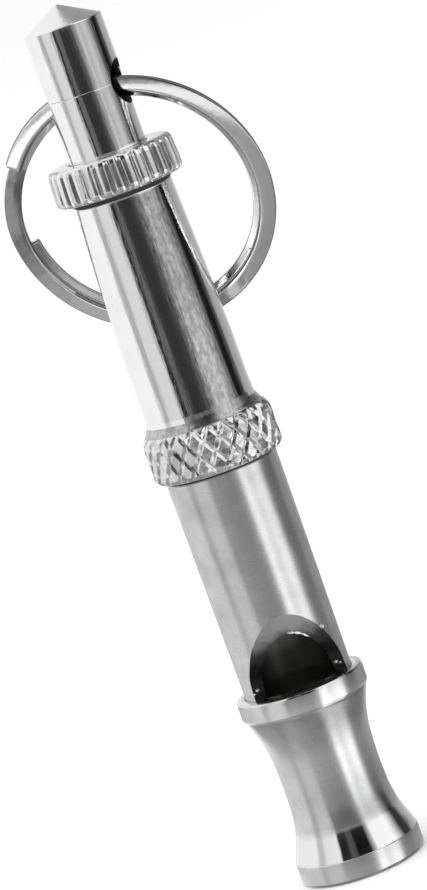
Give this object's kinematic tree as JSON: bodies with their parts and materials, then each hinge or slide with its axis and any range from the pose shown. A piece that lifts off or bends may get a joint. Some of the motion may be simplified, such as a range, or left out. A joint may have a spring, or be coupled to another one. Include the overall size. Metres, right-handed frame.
{
  "type": "training whistle",
  "caption": "Slim metal high-frequency training whistle: waisted mouthpiece, slotted resonator tube, knurled screw sleeve, tuning rod with lock nut, and a split ring through the rod's head.",
  "frame": {"origin": "centre of the mouthpiece's flat end face, on the whistle's axis", "axes": "+Z along the whistle's axis from the mouthpiece to the pointed tip, -Y out of the window, +X to the right of someone facing the window"},
  "size_m": [0.023, 0.0133, 0.08],
  "materials": {
    "satin_nickel": "satin nickel plate with fine turning marks",
    "polished_nickel": "bright plate",
    "plug_metal": "machined, unpolished",
    "ring_steel": "bright plated spring wire",
    "brass": "turned",
    "fibre": "pressed fibre sheet",
    "seal_rubber": "moulded"
  },
  "bodies": {
    "whistle_body": {"mouthpiece": "satin_nickel", "resonator_tube": "satin_nickel", "windway_plug": "plug_metal"},
    "gasket_carrier": {"sleeve_gasket": "fibre"},
    "sleeve": {"threaded_sleeve": "polished_nickel"},
    "washer_carrier": {"nut_washer": "fibre"},
    "nut": {"lock_nut": "polished_nickel"},
    "seal_carrier": {"piston_seal": "seal_rubber"},
    "rod": {"adjusting_rod": "polished_nickel", "piston": "brass"},
    "ring": {"split_ring": "ring_steel"}
  },
  "joints": [
    {"name": "sleeve_lift", "type": "slide", "parent": "whistle_body", "child": "gasket_carrier", "axis": [0, 0, 1], "range_m": [0, 0.003]},
    {"name": "sleeve_turn", "type": "hinge", "parent": "gasket_carrier", "child": "sleeve", "pos_m": [0, 0, 0.04], "axis": [0, 0, 1], "range_deg": [0, 1440.5]},
    {"name": "nut_lift", "type": "slide", "parent": "sleeve", "child": "washer_carrier", "axis": [0, 0, 1], "range_m": [0, 0.00075]},
    {"name": "nut_turn", "type": "hinge", "parent": "washer_carrier", "child": "nut", "pos_m": [0, 0, 0.065], "axis": [0, 0, 1], "range_deg": [0, 360.5]},
    {"name": "rod_travel", "type": "slide", "parent": "sleeve", "child": "seal_carrier", "axis": [0, 0, 1], "range_m": [0, 0.008]},
    {"name": "rod_turn", "type": "hinge", "parent": "seal_carrier", "child": "rod", "pos_m": [0, 0, 0.06], "axis": [0, 0, 1], "range_deg": [0, 3841]},
    {"name": "ring_swing", "type": "hinge", "parent": "rod", "child": "ring", "pos_m": [0, 0, 0.07196], "axis": [0.9553, -0.2957, 0], "range_deg": [0, 329]}
  ],
  "couplings": [
    {"joint": "sleeve_turn", "follows": "sleeve_lift", "rad_per_m": 8377.6},
    {"joint": "nut_turn", "follows": "nut_lift", "rad_per_m": 8377.6},
    {"joint": "rod_turn", "follows": "rod_travel", "rad_per_m": 8377.6}
  ]
}
